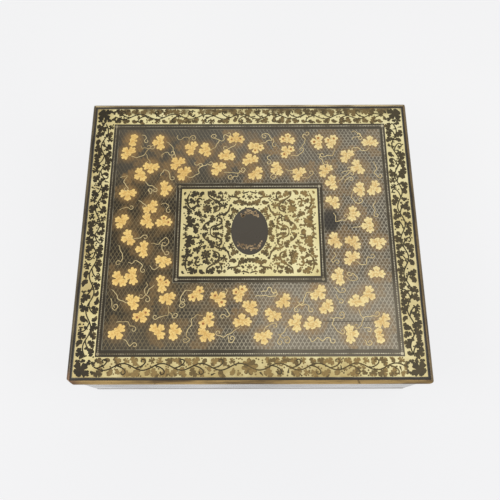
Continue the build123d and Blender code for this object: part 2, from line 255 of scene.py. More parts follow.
def endFinish(colour, roughness=None, relief=None, height=0):
    # height of the relief in mm
    normal = relief and addNode('Bump', {"Strength": 1, "Distance": height * mm, "Height": relief})[0]
    for socket, value in (("Base Color", colour), ("Roughness", roughness), ("Normal", normal)):
        if value:
            making["tree"].links.new(value, making["shader"].inputs[socket])
    return making["finish"]


def mathNode(operation, first, second=0):
    return addNode('Math', {0: first, 1: second}, operation=operation)[0]


def chained(operation, first, *others):
    for other in others:
        first = mathNode(operation, first, other)
    return first


def times(*values):
    return chained('MULTIPLY', *values)


def plus(*values):
    return chained('ADD', *values)


def most(*values):
    return chained('MAXIMUM', *values)


def minus(first, second):
    return mathNode('SUBTRACT', first, second)


def apart(value, middle=0):
    return mathNode('ABSOLUTE', minus(value, middle))


def layers(colour, *coats):
    # coats over each other, each as how much it covers and its colour
    for share, coat in coats:
        colour = addNode('Mix', {0: share, 6: tint(colour), 7: tint(coat)}, data_type='RGBA')[2]
    return colour


def fade(value, low, high, outLow=0, outHigh=1):
    # from outLow to outHigh while the value goes from low to high
    inputs = {"Value": value, "From Min": low, "From Max": high, "To Min": outLow, "To Max": outHigh}
    return addNode('MapRange', inputs, interpolation_type='SMOOTHSTEP')[0]


def onPiece():
    return addNode('TexCoord')["Object"]


def noise(size, detail=3, stretch=(1, 1, 1), turn=0, sharp=0.55):
    # size of the patches in mm
    spot = addNode('Mapping', {"Vector": onPiece(), "Scale": stretch, "Rotation": (0, 0, radians(turn))})[0]
    inputs = {"Vector": spot, "Scale": 1 / (size * mm), "Detail": detail, "Roughness": sharp}
    return addNode('TexNoise', inputs)[0]


def patches(size, low, high, outLow=0, outHigh=1, detail=3):
    return fade(noise(size, detail), low, high, outLow, outHigh)


def axes():
    # x and y on the piece
    return addNode('SeparateXYZ', {0: onPiece()})[:2]


def marked(name):
    return addNode('Attribute', attribute_name=name)["Fac"]


def scratches(size, turn, share):
    # thin lines in one direction; share is how much of the surface they reach
    thin = fade(noise(size, 2, (1, 0.03, 1), turn), 0.66, 0.72)
    return times(thin, patches(60, 0.55 - share, 0.75 - share, detail=2))


# Finishes of the box itself

lacquerLook = dict(
    black=(36, 32, 27), worn=(62, 50, 36), dust=(92, 84, 70), roughness=0.24, coat=0.58,
)


def lacquerFinish(name, look=lacquerLook, wornShare=0.5):
    roughness = look["roughness"]
    newFinish(name, roughness, coat=look["coat"], coatRoughness=0.08)
    clouds = noise(45, 4)
    grain = noise(3, 3, (0.15, 1, 1))
    scratched = scratches(1.2, 35, 0.1)
    colour = layers(look["black"],
            (fade(clouds, 0.4, 0.75, 0, wornShare), look["worn"]),
            (fade(grain, 0.62, 0.8, 0, 0.35), look["dust"]),
            (times(scratched, 0.4), look["dust"]))
    uneven = fade(clouds, 0.3, 0.8, roughness - 0.06, roughness + 0.14)
    return endFinish(colour, uneven, plus(grain, scratched), 0.02)


beadLook = dict(
    # the gold of each strip, its dull gold, and how far it has chipped; the golds differ from strip to strip
    # as painted light and shade by the side each faces, the chips are wear
    front=((184, 153, 96), (98, 76, 46), 0.5), right=((126, 106, 70), (62, 51, 35), 0.55),
    back=((232, 212, 164), (150, 130, 96), 0.4), left=((118, 104, 74), (62, 53, 38), 0.55),
    bare=(46, 34, 26), wood=(122, 92, 64),
)


def beadFinish(side):
    # this strip's gold and dull gold carry painted light and shade for the side it faces
    gold, dull, chipped = beadLook[side]
    newFinish("beadGilt_" + side, 0.38, metallic=0.35, coat=0.2)
    streaks = noise(6, 5, (0.12, 1, 1) if side in ("front", "back") else (1, 0.12, 1))
    chips = noise(9, 6, sharp=0.7)
    low = 0.82 - chipped * 0.4
    bare = fade(chips, low, low + 0.08, 0, 0.9)
    colour = layers(gold, (fade(streaks, 0.36, 0.66), dull), (bare, beadLook["bare"]))
    if side in ("front", "left"):
        # the front left corner is rubbed down to the wood
        corner = builtBox[1].x + builtBox[1].y
        out = minus(times(chips, 0.02), plus(*axes()))
        colour = layers(colour, (fade(out, corner - 0.012, corner + 0.002), beadLook["wood"]))
    return endFinish(colour, fade(chips, 0.3, 0.7, 0.28, 0.6), plus(chips, streaks), 0.06)


def woodFinish(name, light, dark, roughness):
    # stained boards with a grain along X
    newFinish(name, roughness, coat=0.1, coatRoughness=0.3)
    grain = noise(2.2, 5, (0.06, 1, 1))
    clouds = noise(30)
    colour = layers(dark, (fade(grain, 0.35, 0.7), light), (fade(clouds, 0.45, 0.8, 0, 0.4), dark))
    return endFinish(colour, fade(clouds, 0.3, 0.8, roughness - 0.08, roughness + 0.12), grain, 0.03)


def brassFinish(name, bright, tarnished):
    newFinish(name, 0.32, metallic=1)
    clouds = noise(5, 5, sharp=0.6)
    colour = layers(bright, (fade(clouds, 0.38, 0.7), tarnished))
    return endFinish(colour, fade(clouds, 0.3, 0.75, 0.24, 0.5), noise(0.8, 3, (0.08, 1, 1)), 0.01)


def dressBox():
    outside = lacquerFinish("blackLacquer")
    inside = woodFinish("innerLacquer", (58, 42, 32), (34, 26, 21), 0.42)
    boxes = lacquerFinish("boxLacquer", dict(lacquerLook, roughness=0.26), 0.25)
    brass = brassFinish("brass", (214, 176, 100), (150, 116, 62))
    # the first word that a node's name holds decides
    finishes = {
        "_screws": brassFinish("screwBrass", (196, 160, 96), (122, 94, 54)),
        "lock_": brass, "link_": brass, "hinge_": brass,
        "lining_": inside, "_divider": inside,
        "counter_box": boxes, "slip_lid": boxes, "tray_": boxes,
        "bottom_board": woodFinish("underside", (96, 78, 56), (60, 48, 36), 0.6),
    }
    for name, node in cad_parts.items():
        if name.startswith("bead_"):
            finish = beadFinish(name[5:])
        else:
            finish = next((finishes[word] for word in finishes if word in name), outside)
        slots = node.data.materials
        if not slots:
            slots.append(finish)
        for number in range(len(slots)):
            slots[number] = finish
    print("box finishes done")


# Gold leaf ground with the black painting on it

goldLook = dict(
    bright=(255, 244, 190), mid=(242, 228, 166), dull=(190, 166, 106), brown=(102, 82, 51),
)


def goldGroundFinish(name, isBorder):
    newFinish(name, 0.46, metallic=0.2, sheen=0.35)
    x, y = axes()
    clouds = noise(38, 4)
    specks = noise(1.6)
    dull = goldLook["dull"]
    colour = layers(goldLook["bright"], (fade(clouds, 0.3, 0.62), goldLook["mid"]),
            (fade(clouds, 0.55, 0.8, 0, 0.7), dull), (fade(specks, 0.6, 0.8, 0, 0.45), dull))
    if isBorder:
        # the back's outer half has darkened, the other sides have dulled in patches
        back = times(fade(y, 0.149, 0.158), patches(14, 0.36, 0.6, detail=4), 0.92)
        colour = layers(colour, (back, goldLook["brown"]))
        front = times(fade(y, -0.138, -0.16, 0.45, 0.95), fade(y, -0.137, -0.139),
                fade(x, 0.09, 0.14, 1, 0.3))
        left = fade(x, -0.155, -0.180, 0, 0.7)
        right = times(fade(x, 0.158, 0.164), fade(y, 0.08, -0.02, 0.1, 0.5))
        dulled = times(most(front, left, right), patches(17, 0.3, 0.6, 0.45, 1))
    else:
        # the left of the centre panel is a little duller
        dulled = times(fade(x, 0, -0.05, 0, 0.4), patches(13, 0.3, 0.6, 0.5, 1))
    return endFinish(layers(colour, (dulled, dull)), fade(specks, 0.3, 0.8, 0.36, 0.6), specks, 0.015)


inkLook = dict(
    black=(68, 62, 46), left=(40, 36, 26), brown=(156, 130, 80), rim=(72, 60, 38),
    darkShare=0.47,  # the larger, the more of the worn leaves are still dark
)


def inkFinish(name, brownFrom, brownTo, brownMost, unevenness=0.22):
    # black paint, worn to brown from one x to another in mm
    newFinish(name, 0.42, sheen=0.3)
    x, y = axes()
    sway = times(minus(noise(11), 0.5), unevenness)
    wear = fade(plus(x, sway), brownFrom * mm, brownTo * mm, 0.08, brownMost)
    # single leaves, the back border and the right one have kept their black
    split = inkLook["darkShare"]
    worn = times(wear, patches(1.5, 0.3, 0.6, 0.75, 1), patches(10, split - 0.03, split + 0.04, 0.5, 1, 1),
            fade(y, 0.136, 0.139, 1, 0.6), fade(x, 0.161, 0.164, 1, 0.12))
    colour = layers(inkLook["left"], (fade(x, -0.14, 0.02), inkLook["black"]), (worn, inkLook["brown"]),
            (times(marked("rim"), wear, 0.8), inkLook["rim"]))
    return endFinish(colour, None, noise(1, 2), 0.01)


borderLook = dict(
    outer=(183.6, -159.5, 159.5), inner=(162, -138.7, 138.7),
    # turn from the back, flowers and how crowded it is, for each side
    sides=((180, (0,), 1), (0, (), 1), (90, (), 1.02), (270, (), 1.02)),
    depth=20.6,  # of the painting, from the inner edge
    middle=10.2,  # of the main stem, from the inner edge
    stemWave=42,  # one swing of the main stem, in mm
    stemSwing=3.6, stemWidth=1.35,
    # a curl as steps along and across, a comma as distance and bend
    curl=((0, 0), (3.5, 0.8), (7.5, 2.6), (10.5, 5.6), (10, 8.6), (7, 9.2), (5.4, 7.4), (6.6, 6.2)),
    comma=((-1, 0), (-0.45, 0.35), (0.2, 0.5), (0.75, 0.3), (1, 0)),
    innerRow=(4.9, 9.2, 9),  # distance from the inner edge, spacing, size
    outerRow=(15.8, 9.8, 10.2),
    # what fills the gaps: radius, tries for each mm of length and kind
    filling=((3.1, 3, "leaf"), (2.4, 3, "comma"), (2.1, 3, "leaf"), (0.95, 2.5, "berry")),
    flowerSize=1.6, flowerRoom=7.5,
    # x, y and size of the corner leaf and of those about it
    cornerLeaf=(176.4, 152.7, 1.25),
    cornerLeaves=((179.4, 144, 0.6), (176, 139, 0.5), (168, 155.4, 0.6), (163, 154.5, 0.5),
        (168.5, 144.5, 0.62), (163.5, 146, 0.55), (174, 143, 0.5)),
)

leafRings = ((1, 0.08), (0.9, 0.05))
vineLeaf = dict(
    points=60, floor=2.2,
    knobs=lobe(0, 3.7, 23, 1.2) + lobe(90, 3.8, 27, 1.25, 1.15) + lobe(-90, 3.8, 27, 1.25, 1.15)
             + ((180, 1.6, 1.2),),
    rings=leafRings,
)
fanLeaf = dict(
    points=54, floor=1.4,
    knobs=tuple((35 * n, 4.1 - 0.35 * abs(n), 1.15) for n in range(-2, 3))
             + ((150, 2.2, 0.9), (-150, 2.2, 0.9)),
    rings=leafRings,
)
curlLeaf = dict(
    points=54, floor=1.3,
    knobs=tuple((28 * n - 20, 2.4 + 0.55 * n, 1.2) for n in range(-1, 5)),
    rings=leafRings,
)
roseForm = dict(
    points=72, floor=3.9,
    knobs=tuple((45 * n, 4.1, 1.35) for n in range(8)),
    rings=((1, 0.08), (0.9, 0.06)),
)
cornerForm = dict(
    points=108, floor=3.2,
    knobs=lobe(0, 5.6, 19, 1.6) + lobe(72, 5.2, 22, 1.6) + lobe(-72, 5.2, 22, 1.6)
             + lobe(140, 3.5, 22, 1.4) + lobe(-140, 3.5, 22, 1.4),
    slits=((36, 3.1, 8), (-36, 3.1, 8), (108, 3, 8), (-108, 3, 8)), rings=leafRings,
)
berryForm = dict(
    points=10, floor=1, knobs=(),
    rings=((0.9, 0.08), (0.7, 0.05)),
)


def borderRun(toLid, length, flowers, crowd, stems, commas, berries):
    # along a side from -length/2 to length/2, and across from its inner edge
    look = borderLook
    half, middle = length / 2, look["middle"]
    waves = max(1, round(length / look["stemWave"]))

    def wave(along):
        return sin(2 * pi * waves * along / length)

    steps = int(length / 4)
    stops = [length * n / steps - half for n in range(steps + 1)]
    stems.append([toLid(stop, middle + look["stemSwing"] * wave(stop)) for stop in stops])
    # a curl in every half wave, but not at a flower
    for n in range(2 * waves):
        start = (n + 0.12) * half / waves - half
        if all(abs(start + 6 - flower) >= 14 for flower in flowers):
            side = 1 if wave(start + 4) < 0 else -1
            foot = middle + look["stemSwing"] * wave(start)
            stems.append([toLid(start + dx, foot + side * dy) for dx, dy in look["curl"]])
    leaves = []
    placed = [(flower + side * 5, middle, look["flowerRoom"]) for flower in flowers for side in (-1, 1)]
    for across, spacing, size in (look["innerRow"], look["outerRow"]):
        count = round(length / spacing * crowd)
        for n in range(count):
            along = (n + 0.5) * length / count - half + uniform(-0.8, 0.8)
            side = across + uniform(-0.5, 0.5)
            grown = size * crowd * uniform(0.9, 1.1)
            if hasRoom(along, side, grown / 2, placed, 0.86 / crowd ** 2):
                heading = (90 if across > middle else -90) + choice((-1, 1)) * uniform(15, 70)
                leaves.append((toLid(along, side), heading, grown))
                placed.append((along, side, grown / 2))
    # the gaps are filled, the larger first
    for radius, tries, kind in look["filling"]:
        for n in range(round(length * tries)):
            along, side = uniform(-half, half), uniform(0.5 + radius, look["depth"] - radius)
            if not hasRoom(along, side, radius, placed, 0.94):
                continue
            placed.append((along, side, radius))
            if kind == "berry":
                berries.append((toLid(along, side), radius))
            elif kind == "leaf":
                leaves.append((toLid(along, side), uniform(0, 360), radius * 2))
            else:
                turn, way = uniform(0, 2 * pi), choice((-1, 1))
                arms = [(radius * away, turn + way * bend) for away, bend in look["comma"]]
                commas.append([toLid(along + arm * cos(at), side + arm * sin(at)) for arm, at in arms])
    return leaves


def buildBorder():
    look = borderLook
    ground = flatRing(look["outer"], look["inner"], onLid("board"), levels["goldGround"])
    finishPiece([ground], "goldBorder", goldGroundFinish("goldGround", True))

    masters = [modelFlat(form) for form in (vineLeaf, fanLeaf, curlLeaf, roseForm, cornerForm, berryForm)]
    leaf, fan, curl, rose, corner, berry = masters
    height = onLid("goldGround")
    stems, commas, berries, copies = [], [], [], []
    innerX, _, innerY = look["inner"]
    for turn, flowers, crowd in look["sides"]:
        half, edge = (innerY, innerX) if turn % 180 else (innerX, innerY)

        def toLid(along, across):
            wayX, wayY = cos(radians(turn)), sin(radians(turn))
            return -along * wayX - (edge + across) * wayY, (edge + across) * wayX - along * wayY

        for (x, y), heading, size in borderRun(toLid, 2 * half, flowers, crowd, stems, commas, berries):
            copies.append(copyTo(choices((leaf, fan, curl), (6, 2, 2))[0], x, y, heading + turn, size / 10,
                    height + uniform(0, 0.06)))
        for flower in flowers:
            place = toLid(flower, look["middle"] + 0.1)
            copies.append(copyTo(rose, *place, 10, look["flowerSize"], height + 0.07))
    for sideX, sideY in quarters:
        inward = degrees(atan2(-sideY, -sideX))
        x, y, size = look["cornerLeaf"]
        copies.append(copyTo(corner, sideX * x, sideY * y, inward, size, height))
        for n, (x, y, size) in enumerate(look["cornerLeaves"]):
            copies.append(copyTo(leaf, sideX * x, sideY * y, inward + 70 * n, size,
                    height + uniform(0.01, 0.06)))
    copies += [copyTo(berry, x, y, 0, radius, height) for (x, y), radius in berries]
    finishPiece(copies, "borderLeaves", inkFinish("borderInk", -168, -140, 0.95, 0.04))
    ink = inkFinish("stemInk", -100, 180, 0.35, 0.1)
    width = look["stemWidth"]
    finishPiece([strokes(stems, width, 0.35, height + 0.1, 3)], "borderStems", ink)
    commaPiece = strokes(commas, width * 1.2, 0.3, height + 0.08, 3, lambda along: 1.35 - 1.1 * along)
    finishPiece([commaPiece], "borderCommas", ink)
    dropMasters(*masters)
    print("border painted with", len(copies), "leaves and berries")


# Fine lines and beaded chains

lineLook = dict(
    field=(155.6, -131.2, 131.2), edge=(184, -159.9, 159.9), centreLine=(84, -58.6, 60.2),
    chain=(159.2, -135.6, 135.6), centreChain=(80.4, -54.8, 56.4),
    halfWidths={"field": 0.275, "edge": 0.225, "centreLine": 0.3, "chain": 0.2, "centreChain": 0.2},
    dotSpacing=1.9, dotSize=0.62, cornerDot=1.8, pale=(150, 143, 120), dim=(98, 90, 72),
    dullGold=(122, 106, 70), dot=(226, 216, 186), dimDot=(150, 138, 108),
)


def lineFinish(name, bright, dim, broken, dullLeft=0):
    newFinish(name, 0.45, metallic=0.2)
    wear = noise(16, 4)
    colour = layers(bright, (fade(wear, 0.42, 0.42 + broken), dim),
            (fade(axes()[0], 0.02, -0.1, 0, dullLeft), lineLook["dullGold"]))
    return endFinish(colour, fade(wear, 0.3, 0.7, 0.38, 0.55))


def buildLines():
    look = lineLook
    height = onLid("field")
    rings = [flatRing(widened(look[line], half), widened(look[line], -half), onLid("board"), 0.12)
            for line, half in look["halfWidths"].items()]
    finishPiece(rings, "fineLines", lineFinish("fineLine", look["pale"], look["dim"], 0.2))

    dot = modelFlat(dict(berryForm, points=8))
    copies = []
    for halfX, lowY, highY in (look["chain"], look["centreChain"]):
        corners = ((-halfX, lowY), (halfX, lowY), (halfX, highY), (-halfX, highY))
        for (x0, y0), (x1, y1) in zip(corners, corners[1:] + corners[:1]):
            count = round(hypot(x1 - x0, y1 - y0) / look["dotSpacing"])
            for n in range(count):
                share = (n + 0.5) / count
                copies.append(copyTo(dot, x0 + (x1 - x0) * share, y0 + (y1 - y0) * share, 0,
                        look["dotSize"] * uniform(0.85, 1.1), height + 0.02))
            copies.append(copyTo(dot, x0, y0, 0, look["cornerDot"], height + 0.03))
    finishPiece(copies, "beadedChains", lineFinish("chainDots", look["dot"], look["dimDot"], 0.3, 0.6))
    dropMasters(dot)
    print("fine lines done")


# The gilt leaves: x and y in mm as read from the photograph, and the way that the middle lobe points

giltLeaves = (
    (-143,100,138), (-106,114,182), (-68,106,160), (-51,104,195), (-84,86,135), (-76,73,135), (-115,82,270),
    (-126,72,208), (-98,54,0), (-140,48,270), (-113,31,320), (-144,13,150), (-115,14,200), (-97,12,90),
    (-16,118,95), (-27,95,80), (-36,79,135), (1,90,100), (7,73,315), (8,108,255), (45,117,80), (45,101,130),
    (82,114,180), (98,114,150), (143,113,90), (115,95,130), (127,81,215), (33,79,200), (58,72,140),
    (89,76,130), (96,61,195), (128,52,180), (143,54,330), (95,36,45), (117,22,0), (135,8,180), (96,-10,200),
    (115,-13,45), (113,-31,135), (143,-12,270), (98,-52,180), (139,-49,90), (127,-72,340), (115,-81,90),
    (141,-101,315), (106,-115,0), (74,-70,315), (82,-85,315), (36,-79,315), (25,-94,240), (50,-103,180),
    (66.5,-105,95), (14,-117,285), (-135,-6,200), (-118,-20,180), (-95,-33,250), (-142,-54,225),
    (-128,-51,180), (-96,-60,20), (-89,-75,290), (-58,-71,315), (-34,-77,45), (-10,-71,160), (0,-87,45),
    (-8,-102,90), (-46,-100,315), (-46,-115,240), (-127,-80,30), (-116,-94,300), (-141,-112,300),
    (-98,-112,45), (-81,-112,0),
)
halfLeaves = ((-138, 117, 80), (137, -117, 100))
# numbers in the list of those that carry dark red spots on their lobes
spottedLeaves = (13, 14, 19, 20, 21, 22, 23, 58, 60, 61, 62, 65, 68)

leafLook = dict(
    sizes=(0.96, 1.04),  # smallest and largest, as a share of the forms below
    # left and right: the gilt at each end; the paler right is painted reflection
    # rim: painted shadow round the foot of each leaf
    left=(255, 219, 136), right=(255, 234, 170), rim=(150, 106, 54), shade=(206, 150, 70),
    spot=(146, 88, 44), spotLight=(182, 124, 66), spotRim=(226, 180, 104),
    spotAway=5.2,  # of the spots from the leaf's middle, in mm
)

giltRings = ((1, 0.12), (0.955, 0.09), (0.6, 0.04))
giltForms = [
    dict(
        points=144, floor=2.9,
        knobs=lobe(middle, 6.9, 21, 1.55, 1.14) + lobe(92 + lean, 7.4, 26, 1.7, 1.16)
                 + lobe(-92 + lean, 7.4, 26, 1.7, 1.16)
                 + ((180, 2.4, 2), (92 + lean, 4, 3.6), (lean - 92, 4, 3.6), (middle, 3.8, 3)),
        slits=((44 + lean / 2, 3.3, 8), (-44 + lean / 2, 3.3, 8), (150, 2.6, 7), (-150, 2.6, 7)),
        rings=giltRings,
    )
    for middle, lean in ((0, 0), (3, 5), (-4, -5))
]
giltForms.append(dict(
    points=144, floor=2.8,
    knobs=lobe(6, 7.1, 20, 1.5, 1.14) + lobe(90, 6.8, 26, 1.7, 1.2) + lobe(-84, 7.4, 26, 1.75, 1.14)
             + ((165, 3.2, 1.9), (200, 3, 1.9), (90, 3.8, 3.5), (-84, 4, 3.6), (6, 3.8, 2.9)),
    slits=((47, 3.2, 8), (-38, 3.4, 8), (142, 2.7, 6)),
    rings=giltRings,
))
halfForm = dict(
    points=96, floor=2.6,
    knobs=lobe(0, 6.6, 26, 2.2) + lobe(180, 6.6, 26, 2.2) + lobe(90, 3.2, 30, 1.6) + ((-90, 3.6, 1.6),),
    rings=giltRings,
)


def giltFinish(name):
    look = leafLook
    newFinish(name, 0.42, metallic=0.2, sheen=0.35)
    specks = noise(2.2)
    # bright at the lobes' ends, and shaded in patches towards the stalk
    shaded = times(fade(marked("inward"), 0.12, 0.5, 0, 0.55), fade(specks, 0.38, 0.6))
    # painted reflection: the gilt pales from left to right
    colour = layers(look["left"], (fade(axes()[0], -0.13, 0.15), look["right"]),
            (patches(20, 0.45, 0.75, 0, 0.3), look["shade"]), (shaded, look["shade"]),
            # painted shadow: a dark ring round the foot of each raised leaf
            (fade(marked("rim"), 0.15, 1, 0, 0.75), look["rim"]))
    return endFinish(colour, fade(specks, 0.3, 0.8, 0.32, 0.55), specks, 0.03)


def spotFinish(name):
    look = leafLook
    newFinish(name, 0.5)
    return endFinish(layers(look["spot"], (patches(1.2, 0.4, 0.6, detail=2), look["spotLight"]),
            (fade(marked("rim"), 0, 0.9), look["spotRim"])))


def buildLeaves():
    look = leafLook
    masters = [modelFlat(form) for form in giltForms]
    half = modelFlat(halfForm)
    spot = modelFlat(dict(berryForm, points=14, rings=((1, 0.01), (0.62, 0.012), (0.4, 0.006))))
    height = onLid("field")
    copies = []
    for number, (x, y, heading) in enumerate(giltLeaves):
        size = uniform(*look["sizes"])
        copies.append(copyTo(masters[number % len(masters)], x, y, heading + uniform(-5, 5), size,
                height + uniform(0, 0.05)))
    copies += [copyTo(half, x, y, heading, 0.9, height) for x, y, heading in halfLeaves]
    finishPiece(copies, "giltLeaves", giltFinish("giltLeaf"))

    spots, away = [], look["spotAway"]
    for number in spottedLeaves:
        x, y, heading = giltLeaves[number]
        for lobeTurn in sample((0, 88, -88), 2):
            turn = radians(heading + lobeTurn)
            spots.append(copyTo(spot, x + away * cos(turn), y + away * sin(turn), 0, uniform(1.2, 1.7),
                    height + 0.28))
    finishPiece(spots, "leafSpots", spotFinish("leafSpot"))
    dropMasters(*masters, half, spot)
    print("gilt leaves placed")


# The field: lattice, dust of gold round the leaves, wear, and a painted reflection

fieldLook = dict(
    size=(162, 138.7),  # half width and half depth
    gridStep=1.3,
    pitch=3.7,  # between the lattice's lines, in mm
    lineWidth=0.12,  # share of the pitch
    # turn of each set of lines, and its strength at the left and at the right
    sets=((90, 0.12, 0.6), (210, 0.85, 0.9), (330, 0.3, 0.9)), black=(52, 45, 32),
    brown=(76, 65, 46), hole=(42, 37, 28), lattice=(208, 199, 176), latticeLeft=(172, 154, 112),
    dust=(182, 143, 86),
    dustFront=(152, 121, 76),  # the browner dust at the front left
    # painted reflection on the lacquer: its tone over the field, and a warmer and a colder tone for two
    # paler corners
    reflectionTone=(164, 155, 136), warmReflection=(194, 182, 160), coldReflection=(164, 162, 152),
    smudge=(92, 14, 10, 17),  # middle and reach of a dark patch beside the centre
    smudgeTone=(52, 50, 48),
    crack=(-100.4, 75, 146),  # a hairline: its y, and from x to x
    crackTone=(58, 48, 36), scratch=(112, 104, 88),
    dustReach=11.8,  # of the soft cloud under each leaf, in mm
    dustLeaves=(0.8, 0.4, 0.1),  # strength of the soft brown leaves round each gilt one
    dustEdge=1.6,  # how soft their edges are, in mm
)


def latticeNode(x, y):
    # three sets of parallel lines; two of them fade towards the upper left
    pitch, width = fieldLook["pitch"] * mm, fieldLook["lineWidth"]
    whole = plus(times(x, 1.2), times(y, -1.2), times(noise(50, 2), 0.4))
    sets = []
    for turn, low, high in fieldLook["sets"]:
        along = plus(times(x, cos(radians(turn)) / pitch), times(y, sin(radians(turn)) / pitch))
        near = minus(0.5, mathNode('PINGPONG', along, 0.5))
        share = fade(whole, 0.06, 0.24, low, high)
        if turn == 330:
            share = most(share, fade(y, 0.05, 0.09, 1, 0.3))
        sets.append(times(fade(near, width * 0.35, width * 0.7, 1, 0), share))
    return most(*sets)


def fieldFinish():
    look = fieldLook
    newFinish("fieldLacquer", 0.4, coat=0.06, coatRoughness=0.2, sheen=0.3)
    x, y = axes()
    lattice = latticeNode(x, y)
    # the paint of the field stops at the fine lines
    soft = 0.2 * mm
    wide, _, deep = (size * mm for size in lineLook["field"])
    inField = times(fade(apart(x), wide - soft, wide, 1, 0), fade(apart(y), deep - soft, deep, 1, 0))
    halfX, lowY, highY = (size * mm for size in lineLook["centreLine"])
    offCentre = most(minus(apart(x), halfX), minus(apart(y, (lowY + highY) / 2), (highY - lowY) / 2))
    framed = times(inField, fade(offCentre, 0, soft))
    frameShare = fade(framed, 0, 1, 0.4)
    smudgeX, smudgeY, reachX, reachY = (size * mm for size in look["smudge"])
    offX, offY = times(minus(x, smudgeX), 1 / reachX), times(minus(y, smudgeY), 1 / reachY)
    smudge = plus(times(offX, offX), times(offY, offY), times(noise(9), 0.8))
    here = times(framed, fade(smudge, 0.7, 1.9, 0.1, 1))
    # the lattice is rubbed away at the upper left
    kept = plus(times(x, 1.3), times(y, -0.5), times(noise(34, 4), 0.55))
    strength = times(lattice, here, fade(kept, -0.05, 0.4, 0.3, 1), patches(2.4, 0.3, 0.62, 0.4, 1))
    # painted reflection: a pale sheen lies towards the right, the front and the back
    reflectionShare = plus(x, times(apart(y), 0.9), times(noise(70), 0.3))
    reflectionShare = times(fade(reflectionShare, 0.02, 0.44, 0, 0.34), frameShare)
    # painted reflection: two corners are paler still
    backLeft = times(fade(y, 0.05, 0.09), fade(x, 0.1, -0.06, 0.03, 0.12))
    frontRight = times(fade(y, -0.045, -0.07), fade(x, -0.01, 0.03, 0, 0.36))
    cornerReflectionTone = layers(look["warmReflection"], (fade(y, -0.02, 0.04), look["coldReflection"]))
    # gold dust, with less of it where the painted reflection lies
    dust = times(marked("dust"), patches(2.6, 0.36, 0.6, 0.65, 1, 4), here, minus(1, times(reflectionShare, 0.7)))
    frontLeft = times(fade(x, 0.02, -0.06), fade(y, 0.06, -0.04))
    dustTone = layers(look["dust"], (frontLeft, look["dustFront"]))
    # where the dust lies thick the lattice hardly shows
    strength = times(strength, minus(1, times(dust, 0.8)))
    lineTone = layers(look["latticeLeft"], (fade(x, -0.12, 0.05), look["lattice"]))
    # the painted reflection pales the lattice's holes too
    holeTone = layers(look["hole"], (reflectionShare, look["reflectionTone"]))
    crackY, crackFrom, crackTo = (place * mm for place in look["crack"])
    wander = plus(y, times(noise(12), 0.0022))
    crack = times(fade(apart(wander, crackY), 0.00025, 0.0006, 1, 0), fade(x, crackFrom, crackFrom + 0.004),
            fade(x, crackTo - 0.004, crackTo, 1, 0))
    scratched = most(scratches(1, 58, 0.14), scratches(1.4, 122, 0.06))
    colour = layers(look["black"],
            (patches(26, 0.4, 0.7, 0, 0.55, 4), look["brown"]),
            # painted reflection over the field
            (reflectionShare, look["reflectionTone"]),
            # painted reflection at two corners
            (times(most(backLeft, frontRight), frameShare), cornerReflectionTone),
            (fade(smudge, 0.6, 2, 0.75, 0), look["smudgeTone"]),
            (times(dust, 0.92), dustTone),
            (strength, lineTone),
            (times(minus(1, lattice), here, 0.3), holeTone),
            (times(crack, 0.8), look["crackTone"]),
            (times(scratched, 0.35), look["scratch"]))
    return endFinish(colour, patches(18, 0.3, 0.8, 0.26, 0.46), plus(strength, times(scratched, -0.5)), 0.02)


def buildField():
    look = fieldLook
    halfX, halfY = look["size"]
    bpy.ops.mesh.primitive_grid_add(x_subdivisions=round(2 * halfX / look["gridStep"]),
            y_subdivisions=round(2 * halfY / look["gridStep"]), size=1,
            location=(0, 0, onLid("field") * mm))
    field = bpy.context.object
    field.scale = (2 * halfX * mm, 2 * halfY * mm, 1)
    bpy.ops.object.transform_apply()
    # gold dust: clouds under the leaves, and soft brown leaves beside them
    places = np.empty(len(field.data.vertices) * 3, np.float32)
    field.data.vertices.foreach_get("co", places)
    px, py = places[0::3] / mm, places[1::3] / mm
    amount = np.zeros(len(px))
    turns = np.arange(-180, 181, 4)
    outlines = [[edgeReach(turn, form) for turn in turns] for form in giltForms]
    for number, (x, y, heading) in enumerate(giltLeaves + halfLeaves):
        amount = np.maximum(amount, np.exp(-(np.hypot(px - x, py - y) / look["dustReach"]) ** 4))
        first = uniform(0, 360)
        for n, strength in enumerate(look["dustLeaves"]):
            turn = radians(first + 360 / len(look["dustLeaves"]) * n + uniform(-35, 35))
            reach = uniform(10.5, 15)
            dx, dy = px - x - reach * cos(turn), py - y - reach * sin(turn)
            angle = (np.degrees(np.arctan2(dy, dx)) + uniform(0, 360)) % 360 - 180
            edge = np.interp(angle, turns, outlines[(number + n) % len(outlines)]) * uniform(0.85, 1.05)
            inside = np.clip((edge - np.hypot(dx, dy)) / look["dustEdge"] + 0.5, 0, 1)
            amount = np.maximum(amount, uniform(0.5, 1) * strength * inside)
    dust = field.data.attributes.new("dust", 'FLOAT', 'POINT')
    dust.data.foreach_set("value", amount.astype(np.float32))
    # the sheet's edge goes down to the board
    openMesh()
    bpy.ops.mesh.region_to_loop()
    bpy.ops.mesh.extrude_edges_move(TRANSFORM_OT_translate={"value": (0, 0, -levels["field"] * mm)})
    bpy.ops.mesh.edge_face_add()
    closeMesh()
    finishPiece([field], "latticeField", fieldFinish())
    print("field done")


# Tendrils between the leaves, as x,y in mm

